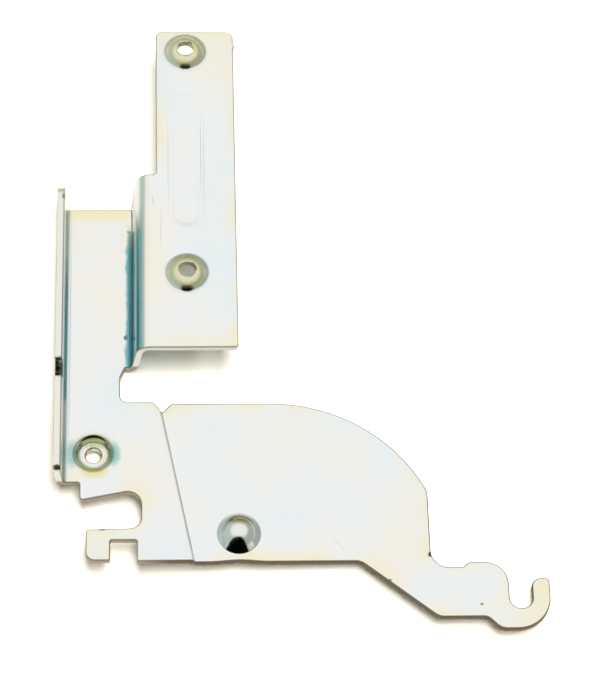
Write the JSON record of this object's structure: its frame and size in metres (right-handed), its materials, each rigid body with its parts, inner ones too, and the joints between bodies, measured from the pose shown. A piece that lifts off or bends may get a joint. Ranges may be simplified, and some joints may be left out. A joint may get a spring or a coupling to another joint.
{
  "type": "z hinge",
  "caption": "Zinc-plated steel door hinge leaf, stamped and folded to a Z section, with a side flange, a screw plate, a swept arm with a pressed pivot and an open spring hook.",
  "frame": {"origin": "axis of the pressed pivot, on the back face of the arm", "axes": "+X along the arm to the spring hook, +Y up the door's edge to the upper screw, +Z square to the sheet, the way the pivot is pressed"},
  "size_m": [0.1299, 0.1773, 0.0183],
  "materials": {
    "zinc_steel": "bright zinc electroplate, blue passivated, on cold-rolled steel sheet"
  },
  "bodies": {
    "root": {"hinge_plate": "zinc_steel"}
  },
  "joints": []
}
